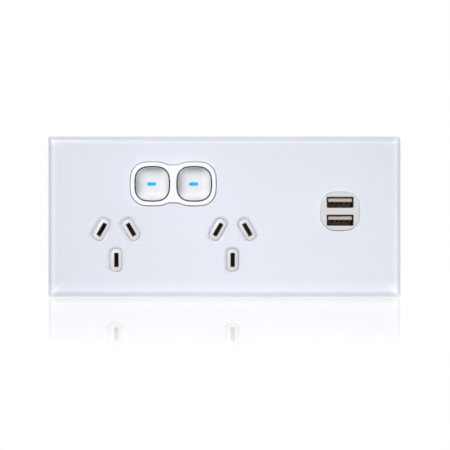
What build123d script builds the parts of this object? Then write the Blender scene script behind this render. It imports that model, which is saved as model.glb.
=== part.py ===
from build123d import *
import os
from math import atan2, degrees

# Double wall socket with two push switches and two USB ports, in millimetres.
# Pieces are drawn lying on their back: x to the right, y up the wall, z out of the wall.
# The zero point is midway between the two wall screws, in the plane of the wall.

# front plate
PLATE_W, PLATE_H = 165.0, 75.0
PLATE_X = 23.4  # the plate is longer on the right, for the USB ports
CORNER_R = 0.8
FACE = 10.0  # front of the glass above the wall
GLASS_BACK = 7.0
BEVEL_W, BEVEL_D = 2.0, 1.6
CARRIER_BACK = 4.4
EDGE_GAP = 0.2  # between the glass and what stands in its openings

# pins of the two sockets
SOCKET_X, SOCKET_Y = 27.25, -10.1
PIN_R, EARTH_R, PIN_TILT = 7.92, 10.31, 30.0
SLOT_W, SLOT_L, LEAD_IN = 2.0, 6.6, 0.2
APERTURE_W, APERTURE_L, APERTURE_R = 5.6, 10.8, 2.3
FLARE = 1.2  # the apertures widen this much at the face
BOSS_TOP = 8.0

# push buttons
SWITCH_X = -0.5  # the pair stands a little left of the middle of the sockets
BUTTON_X, BUTTON_Y = 9.8, 15.2
BUTTON_W, BUTTON_GAP = 15.6, 0.5
DISH_R, DISH_BOTTOM = 16.0, 8.2
DASH_L, DASH_W, DASH_X = 4.3, 1.7, -0.4
TRAVEL = 2.5
LEG_Y = 5.0  # the two legs of a cap stand this far above and below its middle
LATCH_X, LATCH_Y, LATCH_R = 5.9, 1.4, 0.35  # latch wire beside the plunger
BEZEL_W, BEZEL_WAIST = 20.2, 17.3
BEZEL_BACK, BEZEL_TOP = 3.6, 10.1

# USB ports
USB_X, USB_Y = 77.5, 2.4
INSERT_W, INSERT_TOP = 18.0, 9.6
PORT_W, PORT_H, PORT_PITCH = 12.5, 5.1, 8.36
SHELL_T, SHELL_TOP = 0.3, 8.4
BOARD_TOP, BOARD_T = -6.2, 1.6

# frame on the wall
FRAME_W, FRAME_H = 158.4, 68.4
FRAME_BACK, FRAME_FRONT, FRAME_TOP = 0.8, 2.6, 4.2
WALL_SCREW_X, WALL_SCREW_R = 42.0, 2.2

# rear mouldings
BODY_W, BODY_H, BODY_Y, BODY_BACK = 76.8, 51.0, -1.0, -28.0
SUPPLY_W, SUPPLY_H = 41.0, 44.0
BODY_SCREWS = [(-34.2, 19.6), (34.2, 19.6), (-34.2, -21.8), (34.2, -21.8)]
SUPPLY_SCREWS = [(USB_X - 16.6, USB_Y - 18.2), (USB_X + 16.6, USB_Y + 18.2)]
DUCT_Y, DUCT_H = 11.7, 7.0

# brass strips
SHEET = 0.8
CLIP_L = 5.6
PIN_LEVEL, EARTH_LEVEL, LOW_LEVEL = -8.6, -11.6, -14.9
BRIDGE_Y, BRIDGE_REACH = 10.5, 6.0
TERMINAL_X = {"active": -13.0, "earth": 0.0, "neutral": 13.0}
TERMINAL_Y, TERMINAL_L, TERMINAL_W, TERMINAL_BACK = -20.8, 9.0, 8.0, -24.3
TUNNEL, TUNNEL_Z = 4.6, -18.4


def prism(outline, bottom, top):
    """An outline in the plane of the wall, raised from bottom to top."""
    return extrude(Pos(0, 0, bottom) * outline, amount=top - bottom)


def bar(x0, x1, y0, y1):
    """A rectangle between two corners."""
    return Pos((x0 + x1) / 2, (y0 + y1) / 2) * Rectangle(abs(x1 - x0), abs(y1 - y0))


def squircle(width, grow=0.0):
    """A square with bowed sides and large round corners, grown by an even margin."""
    bow = width * 1.52 + grow
    disc = Circle(bow)
    shift = bow - width / 2 - grow
    across = (Pos(shift, 0) * disc) & (Pos(-shift, 0) * disc)
    along = (Pos(0, shift) * disc) & (Pos(0, -shift) * disc)
    cut = across & along
    return fillet(cut.vertices(), width * 0.34 + grow)


def button_place(side):
    """The axis of the left (-1) or the right (1) button."""
    return Pos(SWITCH_X + side * BUTTON_X, BUTTON_Y)


def bezel_outline(grow=0.0):
    """Two lobes around the buttons, joined by a narrower waist, grown by an even margin."""
    lobe = squircle(BEZEL_W, grow)
    whole = button_place(-1) * lobe + button_place(1) * lobe
    whole += Pos(SWITCH_X, BUTTON_Y) * Rectangle(BUTTON_X, BEZEL_WAIST + 2 * grow)
    inner = whole.vertices().filter_by(lambda v: abs(v.X - SWITCH_X) < BUTTON_X * 0.5)
    return fillet(inner, 7.0 - grow)


def pin_place(socket, pin):
    """Where a pin enters, with y along the blade."""
    if pin == "earth":
        return Pos(socket * SOCKET_X, SOCKET_Y - EARTH_R)
    side = -1 if pin == "active" else 1
    centre = Vector(0, PIN_R).rotate(Axis.Z, -60 * side)
    return Pos(socket * SOCKET_X + centre.X, SOCKET_Y + centre.Y) * Rot(0, 0, PIN_TILT * side)


def pin_places():
    """All six pins."""
    return [pin_place(s, p) for s in (-1, 1) for p in ("active", "neutral", "earth")]


def face_openings():
    """The openings that the glass and its carrier share."""
    holes = bezel_outline(EDGE_GAP) + Pos(USB_X, USB_Y) * squircle(INSERT_W, EDGE_GAP)
    aperture = RectangleRounded(APERTURE_W, APERTURE_L, APERTURE_R)
    for place in pin_places():
        holes += place * aperture
    return holes


def eased(outline, ease):
    """A way through the glass that widens over the last bit below its face."""
    widening = extrude(Pos(0, 0, FACE - ease) * outline, amount=ease, taper=-45)
    return prism(outline, GLASS_BACK, FACE) + widening


def glass_fascia():
    """Clear plate with a ground bevel all round and eased openings."""
    mid = FACE - BEVEL_D
    full = Pos(PLATE_X, 0) * Rectangle(PLATE_W, PLATE_H)
    slope = degrees(atan2(BEVEL_W, BEVEL_D))
    body = prism(full, GLASS_BACK, mid) + extrude(Pos(0, 0, mid) * full, amount=BEVEL_D, taper=slope)
    body &= prism(Pos(PLATE_X, 0) * RectangleRounded(PLATE_W, PLATE_H, CORNER_R), GLASS_BACK, FACE)
    body -= eased(bezel_outline(EDGE_GAP), 0.25)
    body -= Pos(USB_X, USB_Y) * eased(squircle(INSERT_W, EDGE_GAP), 0.25)
    aperture = eased(RectangleRounded(APERTURE_W, APERTURE_L, APERTURE_R), FLARE)
    for place in pin_places():
        body -= place * aperture
    return body


def snap_hook(up):
    """A hook behind the carrier that catches in a window of the frame."""
    inner, outer, catch = 30.9, 32.3, 33.4
    profile = Polygon(
        (inner, CARRIER_BACK + 0.4), (inner, 0.9), (outer, 0.9), (catch, 2.2), (outer, 2.4),
        (outer, CARRIER_BACK + 0.4), align=None)
    hook = extrude(Plane.YZ * profile, amount=4, both=True)
    return hook if up else mirror(hook, about=Plane.XZ)


def fascia_carrier():
    """Moulded plate behind the glass, with a skirt down to the wall and four hooks."""
    outer = Pos(PLATE_X, 0) * RectangleRounded(PLATE_W - 0.4, PLATE_H - 0.4, CORNER_R)
    inner = Pos(PLATE_X, 0) * RectangleRounded(PLATE_W - 3.6, PLATE_H - 3.6, CORNER_R)
    body = prism(outer, 0.3, GLASS_BACK) - prism(inner, 0.3, CARRIER_BACK)
    body -= prism(face_openings(), CARRIER_BACK, GLASS_BACK)
    for x in (PLATE_X - 45, PLATE_X + 45):
        for up in (True, False):
            body += Pos(x, 0) * snap_hook(up)
        # notch for the tip of a screwdriver, to lift the plate off
        body -= Pos(x + 18, -PLATE_H / 2 + 1.5, 0.8) * Box(7, 4, 1.6)
    return body


def switch_bezel():
    """White surround of the two buttons, held by a flange behind the carrier."""
    body = prism(bezel_outline(), BEZEL_BACK, BEZEL_TOP)
    body += prism(bezel_outline(1.5), BEZEL_BACK, CARRIER_BACK)
    hole = squircle(BUTTON_W, BUTTON_GAP)
    for side in (-1, 1):
        body -= prism(button_place(side) * hole, BEZEL_BACK, BEZEL_TOP)
    return fillet(body.edges().filter_by_position(Axis.Z, BEZEL_TOP - 0.01, BEZEL_TOP + 0.01), 0.25)


def dish():
    """The ball that hollows the front of a button."""
    return Pos(0, 0, DISH_BOTTOM + DISH_R) * Sphere(DISH_R)


def button_cap():
    """Dished cap with a skirt, two legs and a slot for the light window, around its own axis."""
    body = prism(squircle(BUTTON_W), 6.2, 12.0) - dish()
    rim = body.edges().filter_by(lambda e: e.center().Z > 9.5)
    body = fillet(rim, 0.3)
    body -= prism(squircle(BUTTON_W, -1.2), 6.2, 7.4)
    for side in (-1, 1):
        body += prism(Pos(0, side * LEG_Y) * Rectangle(5.0, 2.4), -2.0, 7.4)
    return body - prism(Pos(DASH_X, 0) * SlotOverall(DASH_L, DASH_W), 7.0, 12.0)


def light_window():
    """Blue window that follows the dish of its cap."""
    return prism(Pos(DASH_X, 0) * SlotOverall(DASH_L, DASH_W), 7.3, 12.0) - dish()


def switch_plunger():
    """Nylon block under a cap: takes its legs, holds the bridge and has the heart-shaped latch track."""
    body = prism(Rectangle(10, 13), -7.0, 0.7)
    body += prism(bar(-3, 3, -6.5, -2.9), -9.6, -7.0)
    body += prism(Pos(0, BRIDGE_Y - BUTTON_Y) * Circle(0.9), -10.6, -9.6)
    for side in (-1, 1):
        body -= prism(Pos(0, side * LEG_Y) * Rectangle(5.0, 2.4), -2.0, 0.7)
    track = Pos(2.6, -4.3) * RectangleRounded(3.4, 4.0, 0.6)
    heart = [(2.6, -5.3), (3.3, -4.5), (3.3, -3.7), (2.6, -4.1), (1.9, -3.7), (1.9, -4.5)]
    track -= Polygon(*heart, align=None)
    body -= extrude(Plane.YZ.offset(4.0) * track, amount=1.5)
    return body - prism(Circle(1.9), -7.0, -3.0)


def latch_wire():
    """Bent wire that stands in the floor of the switch chamber and follows the track of the plunger."""
    foot, bend, tip = (LATCH_X, LATCH_Y, -17.4), (LATCH_X, LATCH_Y, -5.75), (4.2, LATCH_Y, -5.75)
    path = FilletPolyline(foot, bend, tip, radius=0.7)
    return sweep(Plane(origin=path @ 0, z_dir=path % 0) * Circle(LATCH_R), path=path)


def contact_bridge():
    """Brass bar with two silver tips, riveted under the plunger."""
    y = BRIDGE_Y - BUTTON_Y
    body = prism(Pos(0, y) * RectangleRounded(2 * BRIDGE_REACH + 3, 3.6, 0.6), -10.4, -9.6)
    body -= prism(Pos(0, y) * Circle(0.9), -10.4, -9.6)
    for side in (-1, 1):
        body += prism(Pos(side * BRIDGE_REACH, y) * Circle(1.1), -11.0, -10.4)
    return body


def return_spring():
    """Open coil of steel wire between the plunger and the floor of the switch chamber."""
    wire = 0.6
    low, high, turns = -16.0 + wire / 2, -7.0 - wire / 2, 4
    path = Pos(0, 0, low) * Helix(pitch=(high - low) / turns, height=high - low, radius=2.6)
    section = Plane(origin=path @ 0, z_dir=path % 0) * RegularPolygon(wire / 2, 6)
    return sweep(section, path=path, is_frenet=True)


def pin_clip(level, height):
    """Two sprung leaves that grip a blade, around its own axis."""
    top = level + height
    grip = top - 2.5
    half = [(2.3, level), (1.5, grip), (2.3, top), (1.6, top), (0.75, grip), (1.5, level + SHEET)]
    profile = Polygon(*half, *[(-x, z) for x, z in reversed(half)], align=None)
    return extrude(Plane.XZ * profile, amount=CLIP_L / 2, both=True)


def contact_tip(x):
    """Silver tip on a fixed contact."""
    return prism(Pos(x, BRIDGE_Y) * Circle(1.1), LOW_LEVEL + SHEET, LOW_LEVEL + SHEET + 0.5)


def strip(outline, level):
    """A flat run of brass sheet."""
    return prism(outline, level, level + SHEET)


def neutral_outline():
    """Rail below the pins, a tab to each neutral pin, and the arm that feeds the USB supply."""
    left, right = -SOCKET_X + 6.86, SOCKET_X + 6.86
    rail = bar(left - 2, right + 1.5, -15.5, -11.7)
    rail += bar(left - 2, left + 2, -11.7, -6.1) + bar(right - 1.5, right + 1.5, -11.7, DUCT_Y + 1.5)
    rail += bar(right - 1.5, 62, DUCT_Y - 1.5, DUCT_Y + 1.5)
    return rail + bar(TERMINAL_X["neutral"] - 2, TERMINAL_X["neutral"] + 2, -17.6, -15.5)


def neutral_busbar():
    """Neutral clips of both sockets with their rail and its drop to the terminal."""
    body = strip(neutral_outline(), PIN_LEVEL)
    for socket in (-1, 1):
        body += pin_place(socket, "neutral") * pin_clip(PIN_LEVEL, 8.0)
    x = TERMINAL_X["neutral"]
    return body + prism(bar(x - 2, x + 2, -17.6, -16.8), LOW_LEVEL, PIN_LEVEL)


def earth_outline():
    """Straight rail through both earth pins."""
    return bar(-SOCKET_X, SOCKET_X, SOCKET_Y - EARTH_R - 2, SOCKET_Y - EARTH_R + 2)


def earth_busbar():
    """Earth clips of both sockets with their rail and its drop to the terminal."""
    body = strip(earth_outline(), EARTH_LEVEL)
    for socket in (-1, 1):
        body += pin_place(socket, "earth") * pin_clip(EARTH_LEVEL, 11.0)
    return body + prism(bar(-2, 2, -20.8, -20.0), LOW_LEVEL, EARTH_LEVEL)


def active_outline():
    """Riser from the terminal, pad under both switches, and the arm that feeds the USB supply."""
    x = TERMINAL_X["active"]
    run = bar(x - 2, x + 2, -20, 6) + bar(x - 2, 29.5, 2.8, 6)
    run += bar(SWITCH_X - 5.4, SWITCH_X + 5.4, 6, 12.5)
    run += bar(26.5, 29.5, 6, DUCT_Y + 1.5)
    return run + bar(26.5, 64, DUCT_Y - 1.5, DUCT_Y + 1.5)


def active_busbar():
    """Feed from the active terminal to the inner contacts of both switches and to the supply."""
    body = strip(active_outline(), LOW_LEVEL)
    for side in (-1, 1):
        body += contact_tip(SWITCH_X + side * (BUTTON_X - BRIDGE_REACH))
    low, high = LOW_LEVEL + SHEET, BOARD_TOP - BOARD_T
    return body + prism(bar(63.2, 64, DUCT_Y - 1.5, DUCT_Y + 1.5), low, high)


def switched_outline(socket):
    """The upper and the lower run between an active pin and its switch."""
    x = socket * SOCKET_X - 6.86
    tip = SWITCH_X + socket * (BUTTON_X + BRIDGE_REACH)
    drop = x if socket > 0 else -20.0
    upper = bar(x - 1.8, x + 1.8, -6.1, BRIDGE_Y + 2)
    if socket < 0:
        upper += bar(x - 1.8, drop, BRIDGE_Y - 2, BRIDGE_Y + 2)
    lower = bar(drop, tip - socket * 1.8, BRIDGE_Y - 2, BRIDGE_Y + 2)
    return upper, lower, drop


def active_contact(socket):
    """Active clip of one socket with its strip to the outer contact of its switch."""
    upper, lower, drop = switched_outline(socket)
    tip = SWITCH_X + socket * (BUTTON_X + BRIDGE_REACH)
    body = strip(upper, PIN_LEVEL) + pin_place(socket, "active") * pin_clip(PIN_LEVEL, 8.0)
    body += strip(lower, LOW_LEVEL) + contact_tip(tip)
    riser = bar(drop - SHEET / 2, drop + SHEET / 2, BRIDGE_Y - 2, BRIDGE_Y + 2)
    return body + prism(riser, LOW_LEVEL, PIN_LEVEL + SHEET)


def terminal(kind):
    """Brass block with a square tunnel for the cable cores and a thread for its screw."""
    x = TERMINAL_X[kind]
    body = prism(Pos(x, TERMINAL_Y) * Rectangle(TERMINAL_W, TERMINAL_L), TERMINAL_BACK, LOW_LEVEL)
    body -= Pos(x, TERMINAL_Y, TUNNEL_Z) * Box(TUNNEL, TERMINAL_L + 2, TUNNEL)
    return body - prism(Pos(x, TERMINAL_Y) * Circle(1.75), TERMINAL_BACK, TUNNEL_Z)


def cheese_screw(shank_r, tip, seat, head_r, head_h):
    """Screw driven from the rear, with a slotted head."""
    body = prism(Circle(shank_r), seat, tip) + prism(Circle(head_r), seat - head_h, seat)
    return body - Pos(0, 0, seat - head_h) * Box(2 * head_r + 1, 0.9, 1.6)


def terminal_screws():
    """The three clamping screws, backed out of the tunnels."""
    screw = cheese_screw(1.7, -20.9, -24.9, 3.1, 2.2)
    return [Pos(x, TERMINAL_Y) * screw for x in TERMINAL_X.values()]


def housing_screws():
    """Six screws that hold the rear mouldings to the frame."""
    screw = cheese_screw(1.25, -0.5, -25.6, 2.5, 1.7)
    return [Pos(x, y) * screw for x, y in BODY_SCREWS + SUPPLY_SCREWS]


def frame_posts():
    """Posts behind the frame that the housing screws bite into."""
    posts = Sketch()
    for x, y in BODY_SCREWS + SUPPLY_SCREWS:
        posts += Pos(x, y) * Circle(2.6)
    return posts


def mounting_frame():
    """White tray on the wall that carries the pin bosses, the switches and the rear mouldings."""
    def inset(d):
        return Pos(PLATE_X, 0) * RectangleRounded(FRAME_W - 2 * d, FRAME_H - 2 * d, 1.0)

    body = prism(inset(0), 0, FRAME_TOP) - prism(inset(1.8), FRAME_FRONT, FRAME_TOP)
    body -= prism(inset(3.0), 0, FRAME_BACK)
    for x in (-49.5, 50.5, 97.0):
        body += prism(bar(x - 0.8, x + 0.8, -33, 33), FRAME_FRONT, FRAME_TOP - 0.4)
    body += prism(bar(-55, 102, -30.2, -28.6), FRAME_FRONT, FRAME_TOP - 0.4)
    for x in (PLATE_X - 45, PLATE_X + 45):
        for y in (FRAME_H / 2, -FRAME_H / 2):
            body -= Pos(x, y, 1.8) * Box(9, 8, 2.4)
    for side in (-1, 1):
        body += prism(Pos(side * WALL_SCREW_X, 0) * Circle(3.5), 0, FRAME_FRONT)
        body -= prism(Pos(side * WALL_SCREW_X, 0) * Circle(WALL_SCREW_R), 0, FRAME_FRONT)
        body -= prism(Pos(side * WALL_SCREW_X, 0) * Circle(4.4), 1.4, FRAME_FRONT)
        for leg in (-1, 1):
            guide = button_place(side) * Pos(0, leg * LEG_Y) * Rectangle(5.4, 2.8)
            body -= prism(guide, FRAME_BACK, FRAME_FRONT)
    boss = RectangleRounded(APERTURE_W - 0.4, APERTURE_L - 0.4, APERTURE_R - 0.2)
    slot = RectangleRounded(SLOT_W, SLOT_L, 0.3)
    mouth = RectangleRounded(SLOT_W + 2 * LEAD_IN, SLOT_L + 2 * LEAD_IN, 0.3 + LEAD_IN)
    lead_in = loft([Pos(0, 0, BOSS_TOP - LEAD_IN) * slot, Pos(0, 0, BOSS_TOP) * mouth])
    for place in pin_places():
        body += place * prism(boss, FRAME_FRONT, BOSS_TOP)
    for place in pin_places():
        body -= place * (prism(slot, FRAME_BACK, BOSS_TOP) + lead_in)
    body -= prism(Pos(USB_X, USB_Y) * RectangleRounded(14.4, 15.4, 1.0), FRAME_BACK, FRAME_FRONT)
    body += prism(frame_posts(), -7.0, FRAME_BACK)
    for x, y in BODY_SCREWS + SUPPLY_SCREWS:
        body -= prism(Pos(x, y) * Circle(1.3), -7.0, 0.0)
    for x in (-18.6, 0, 18.6):
        body += prism(Pos(x, BUTTON_Y) * Circle(0.8), FRAME_FRONT, FRAME_FRONT + 0.9)
    return body


def light_board():
    """Narrow board in front of the frame, on three pegs."""
    body = prism(Pos(0, BUTTON_Y) * RectangleRounded(40.5, 5.0, 0.8), FRAME_FRONT, FRAME_FRONT + 0.8)
    for x in (-18.6, 0, 18.6):
        body -= prism(Pos(x, BUTTON_Y) * Circle(0.9), FRAME_FRONT, FRAME_FRONT + 0.8)
    return body


def on_light_board(x, y, length, width, height):
    """A small component soldered to the light board."""
    seat = FRAME_FRONT + 0.8
    return prism(Pos(x, BUTTON_Y + y) * Rectangle(length, width), seat, seat + height)


def indicator_lights():
    """One light under each window, a lens on a small base."""
    lights = []
    for side in (-1, 1):
        x = SWITCH_X + side * BUTTON_X + DASH_X
        base = on_light_board(x, 0, 3.2, 1.6, 0.5)
        lens = on_light_board(x, 0, 2.0, 1.3, 1.0)
        lights.append(base + lens)
    return lights


def light_resistors():
    """A series resistor beside each light."""
    return [on_light_board(SWITCH_X + side * (BUTTON_X - 4.4), 0, 2.0, 1.2, 0.5) for side in (-1, 1)]


def usb_insert():
    """Pale insert with the two port windows and a flange behind the carrier."""
    middle = Pos(USB_X, USB_Y)
    body = prism(middle * squircle(INSERT_W), FRAME_FRONT, INSERT_TOP)
    body += prism(middle * squircle(INSERT_W, 1.6), FRAME_FRONT, CARRIER_BACK)
    body = fillet(body.edges().filter_by_position(Axis.Z, INSERT_TOP - 0.01, INSERT_TOP + 0.01), 0.4)
    shell = RectangleRounded(PORT_W + 2 * SHELL_T + 0.1, PORT_H + 2 * SHELL_T + 0.1, 0.6)
    window = RectangleRounded(PORT_W, PORT_H, 0.4)
    mouth = RectangleRounded(PORT_W + 0.5, PORT_H + 0.5, 0.65)
    lead_in = loft([Pos(0, 0, INSERT_TOP - 0.25) * window, Pos(0, 0, INSERT_TOP) * mouth])
    for side in (-1, 1):
        at = Pos(USB_X, USB_Y + side * PORT_PITCH / 2)
        body -= prism(at * shell, FRAME_FRONT, SHELL_TOP)
        body -= prism(at * window, SHELL_TOP, INSERT_TOP)
        body -= at * lead_in
    return body


def usb_shell(side):
    """Folded metal shell of one port, open at the front, with its two side springs cut free."""
    at = Pos(USB_X, USB_Y + side * PORT_PITCH / 2)
    outer = RectangleRounded(PORT_W + 2 * SHELL_T, PORT_H + 2 * SHELL_T, 0.6)
    inner = RectangleRounded(PORT_W, PORT_H, 0.3)
    body = prism(at * outer, BOARD_TOP, SHELL_TOP) - prism(at * inner, BOARD_TOP, SHELL_TOP)
    for x in (-3.2, 3.2):
        body -= at * Pos(x, 0, -1.0) * Box(2.2, PORT_H + 2, 3.6)
    return body


def usb_tongue(side):
    """Insulator of one port: a block at the bottom and a tongue in the upper half."""
    at = Pos(USB_X, USB_Y + side * PORT_PITCH / 2)
    body = prism(at * RectangleRounded(PORT_W - 0.1, PORT_H - 0.1, 0.3), BOARD_TOP, -3.2)
    tongue = prism(at * Pos(0, 1.05) * Rectangle(11.1, 1.8), -3.2, 8.1)
    tip = tongue.edges().filter_by_position(Axis.Z, 8.09, 8.11).filter_by(Axis.X)
    return body + chamfer(tip, 0.35)


def usb_contacts(side):
    """Four sprung contacts under one tongue."""
    y = USB_Y + side * PORT_PITCH / 2 + 0.15
    bow = Polygon((y, -3.2), (y, 6.6), (y - 0.25, 6.6), (y - 0.75, 5.0), (y - 0.75, 4.2),
                  (y - 0.25, 2.0), (y - 0.25, -3.2), align=None)
    leaf = extrude(Plane.YZ * bow, amount=0.5, both=True)
    return [Pos(USB_X + x, 0) * leaf for x in (-3.5, -1, 1, 3.5)]


def usb_board():
    """Board of the USB supply, with notches around the two posts."""
    body = prism(Pos(USB_X, USB_Y) * RectangleRounded(37.0, 40.0, 1.0), BOARD_TOP - BOARD_T, BOARD_TOP)
    for x, y in SUPPLY_SCREWS:
        body -= prism(Pos(x, y) * Circle(3.3), BOARD_TOP - BOARD_T, BOARD_TOP)
    return body


def supply_transformer():
    """Ferrite core around a taped winding on its bobbin."""
    base = BOARD_TOP - BOARD_T
    at = Pos(USB_X + 7, USB_Y - 9)
    core = prism(at * Rectangle(15.0, 5.0), base - 13.0, base - 1.2)
    winding = prism(at * RectangleRounded(10.0, 12.0, 2.0), base - 10.4, base - 3.2)
    bobbin = prism(at * Rectangle(11.0, 13.0), base - 2.0, base)
    cheek = prism(at * RectangleRounded(11.0, 13.0, 1.0), base - 3.2, base - 2.0)
    return core + winding + bobbin + cheek


def upright_can(x, y, radius, height):
    """A round capacitor standing on the rear of the board."""
    base = BOARD_TOP - BOARD_T
    can = prism(Pos(x, y) * Circle(radius), base - height, base)
    groove = prism(Pos(x, y) * Circle(radius + 1), base - 2.6, base - 2.0)
    groove -= prism(Pos(x, y) * Circle(radius - 0.35), base - 2.6, base - 2.0)
    return can - groove


def supply_capacitor():
    """Mains-side capacitor."""
    return upright_can(USB_X - 11, USB_Y - 6, 5.0, 15.0)


def output_capacitors():
    """Two capacitors on the five-volt side."""
    return [upright_can(USB_X + x, USB_Y + 12, 3.15, 9.0) for x in (2.0, 9.6)]


def supply_chip():
    """Controller on the rear of the board, with eight leads."""
    base = BOARD_TOP - BOARD_T
    at = Pos(USB_X - 5.0, USB_Y + 4.5)
    body = prism(at * Rectangle(5.0, 4.0), base - 1.7, base - 0.15)
    for i in range(4):
        for side in (-1, 1):
            lead = at * Pos(-1.9 + 1.27 * i, side * 2.5) * Rectangle(0.45, 1.4)
            body += prism(lead, base - 0.6, base)
    return body


def wedge_block(width, height, back, front, x, y):
    """A rear moulding: upright sides and a chamfered rear edge."""
    body = prism(Pos(x, y) * RectangleRounded(width, height, 2.5), back, front)
    return chamfer(body.edges().filter_by_position(Axis.Z, back - 0.01, back + 0.01), 1.4)


def screw_ways(points):
    """Holes for the housing screws, with room for the posts and the heads."""
    ways = Part()
    for x, y in points:
        ways += prism(Pos(x, y) * Circle(1.45), BODY_BACK, FRAME_BACK)
        ways += prism(Pos(x, y) * Circle(2.8), -7.2, FRAME_BACK)
        ways += prism(Pos(x, y) * Circle(2.8), BODY_BACK, -25.6)
    return ways


def mechanism_housing():
    """Rear moulding with a cavity for every contact, the switch chambers and the cable entries."""
    body = wedge_block(BODY_W, BODY_H, BODY_BACK, FRAME_BACK, 0, BODY_Y)
    slack = 0.2
    inside = bar(-BODY_W / 2 + 0.6, BODY_W / 2, -25, 23)
    runs = [(neutral_outline(), PIN_LEVEL), (earth_outline(), EARTH_LEVEL), (active_outline(), LOW_LEVEL)]
    for socket in (-1, 1):
        upper, lower, drop = switched_outline(socket)
        lower += bar(drop - 1, drop + 1, BRIDGE_Y - 2, BRIDGE_Y + 2)
        runs += [(upper, PIN_LEVEL), (lower, LOW_LEVEL)]
    for outline, level in runs:
        body -= prism(offset(outline, slack, kind=Kind.INTERSECTION) & inside, level, FRAME_BACK)
    clip_room = Rectangle(5.4, CLIP_L + 0.6)
    for socket in (-1, 1):
        for pin in ("active", "neutral", "earth"):
            level = EARTH_LEVEL if pin == "earth" else PIN_LEVEL
            body -= prism(pin_place(socket, pin) * clip_room, level, FRAME_BACK)
    for side in (-1, 1):
        chamber = bar(side * 1.6, side * 18.0, 7.8, 22.6)
        body -= prism(chamber, -16.0, FRAME_BACK)
        body += prism(button_place(side) * Circle(1.5), -17.0, -11.2)
        body -= prism(button_place(side) * Pos(LATCH_X, LATCH_Y) * Circle(LATCH_R + 0.05), -17.5, -16.0)
    for x in TERMINAL_X.values():
        room = Pos(x, TERMINAL_Y) * Rectangle(TERMINAL_W, TERMINAL_L)
        body -= prism(room, TERMINAL_BACK, FRAME_BACK)
        body -= prism(Pos(x, TERMINAL_Y) * Circle(3.5), BODY_BACK, TERMINAL_BACK)
        body -= Pos(x, BODY_Y - BODY_H / 2, TUNNEL_Z) * Box(TUNNEL + 0.4, 6, TUNNEL + 0.4)
    for x in (-26, -13, 13, 26):
        for y in (-5.5, 7.5):
            body -= prism(Pos(x, y) * RectangleRounded(10.5, 10.5, 1.0), BODY_BACK, -19.0)
    return body - screw_ways(BODY_SCREWS)


def usb_housing():
    """Rear moulding around the USB supply, with the duct for its two feed strips."""
    body = wedge_block(SUPPLY_W, SUPPLY_H, BODY_BACK, FRAME_BACK, USB_X, USB_Y)
    room = Pos(USB_X, USB_Y) * RectangleRounded(SUPPLY_W - 3.6, SUPPLY_H - 3.6, 1.2)
    body -= prism(room, -26.2, FRAME_BACK)
    for x, y in SUPPLY_SCREWS:
        body += prism(Pos(x, y) * Circle(3.0), -27.0, -7.0)
    left = USB_X - SUPPLY_W / 2
    duct = bar(BODY_W / 2, left + 1.0, DUCT_Y - DUCT_H / 2, DUCT_Y + DUCT_H / 2)
    body += prism(duct, LOW_LEVEL - 1.6, FRAME_BACK)
    way = bar(BODY_W / 2, left + 3.0, DUCT_Y - 1.7, DUCT_Y + 1.7)
    body -= prism(way, LOW_LEVEL, FRAME_BACK)
    for side in (-1, 1):
        ledge = Pos(USB_X + side * 16.2, USB_Y - side * 17.2) * Rectangle(6.0, 6.0)
        body += prism(ledge, -27.0, BOARD_TOP - BOARD_T)
    for i in range(5):
        vent = Pos(USB_X - 10 + 5 * i, USB_Y + SUPPLY_H / 2, -17.0)
        body -= vent * Box(2.0, 6.0, 9.0)
    return body - screw_ways(SUPPLY_SCREWS)


def stand(shape):
    """Turn a piece from lying on its back to upright on the wall."""
    solids = shape if isinstance(shape, list) else [shape]
    upright = [Rot(90, 0, 0) * s for s in solids]
    return upright[0] if len(upright) == 1 else Compound(children=upright)


def save(name, shape):
    """Write one piece in its place on the wall."""
    export_step(stand(shape), f"parts/{name}.step")


os.makedirs("parts", exist_ok=True)
save("glass_fascia", glass_fascia())
save("fascia_carrier", fascia_carrier())
save("switch_bezel", switch_bezel())
for name, side in (("left", -1), ("right", 1)):
    axis = button_place(side)
    save(f"button_cap_{name}", axis * button_cap())
    save(f"light_window_{name}", axis * light_window())
    save(f"switch_plunger_{name}", axis * switch_plunger())
    save(f"contact_bridge_{name}", axis * contact_bridge())
    save(f"return_spring_{name}", axis * return_spring())
    save(f"latch_wire_{name}", axis * latch_wire())
    save(f"active_contact_{name}", active_contact(side))
save("mounting_frame", mounting_frame())
save("light_board", light_board())
save("indicator_lights", indicator_lights())
save("light_resistors", light_resistors())
save("active_busbar", active_busbar())
save("neutral_busbar", neutral_busbar())
save("earth_busbar", earth_busbar())
for kind in TERMINAL_X:
    save(f"{kind}_terminal", terminal(kind))
save("terminal_screws", terminal_screws())
save("housing_screws", housing_screws())
save("mechanism_housing", mechanism_housing())
save("usb_insert", usb_insert())
for name, side in (("lower", -1), ("upper", 1)):
    save(f"usb_shell_{name}", usb_shell(side))
    save(f"usb_tongue_{name}", usb_tongue(side))
    save(f"usb_contacts_{name}", usb_contacts(side))
save("usb_board", usb_board())
save("supply_transformer", supply_transformer())
save("supply_capacitor", supply_capacitor())
save("output_capacitors", output_capacitors())
save("supply_chip", supply_chip())
save("usb_housing", usb_housing())
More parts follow.
